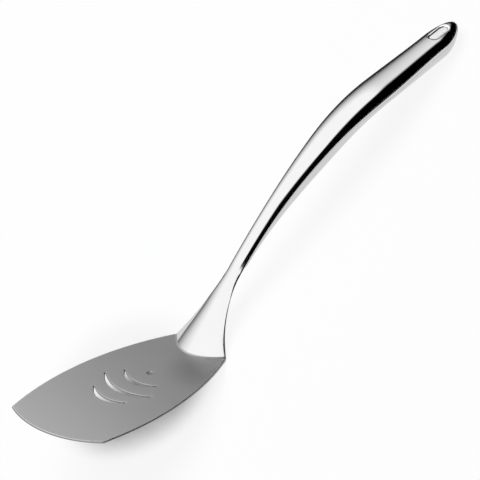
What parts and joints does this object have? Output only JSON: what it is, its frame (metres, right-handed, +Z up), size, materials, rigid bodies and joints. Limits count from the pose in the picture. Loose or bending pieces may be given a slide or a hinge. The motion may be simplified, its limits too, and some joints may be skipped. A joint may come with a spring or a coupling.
{
  "type": "slotted spatula",
  "caption": "Steel slotted spatula: a flat satin blade with crescent slots, an arched neck and a hollow polished handle with a hanging hole near its end.",
  "frame": {"origin": "middle of the bounding box at table height, with the spatula lying on its blade's heel and its handle's end", "axes": "+X from the blade towards the handle's end, +Z up from the table, +Y to the left of someone looking along +X"},
  "size_m": [0.3528, 0.0708, 0.0594],
  "materials": {
    "satin_and_polished_sheet": "satin blade, polished neck and handle",
    "polished_shell": "mirror polished",
    "polished_weld": "ground flush and polished"
  },
  "bodies": {
    "root": {"blade_and_upper_shell": "satin_and_polished_sheet", "handle_lower_shell": "polished_shell", "hang_hole_sleeve": "polished_shell", "seam_weld_left": "polished_weld", "seam_weld_right": "polished_weld", "nose_weld": "polished_weld", "sleeve_weld_top": "polished_weld", "sleeve_weld_bottom": "polished_weld"}
  },
  "joints": []
}
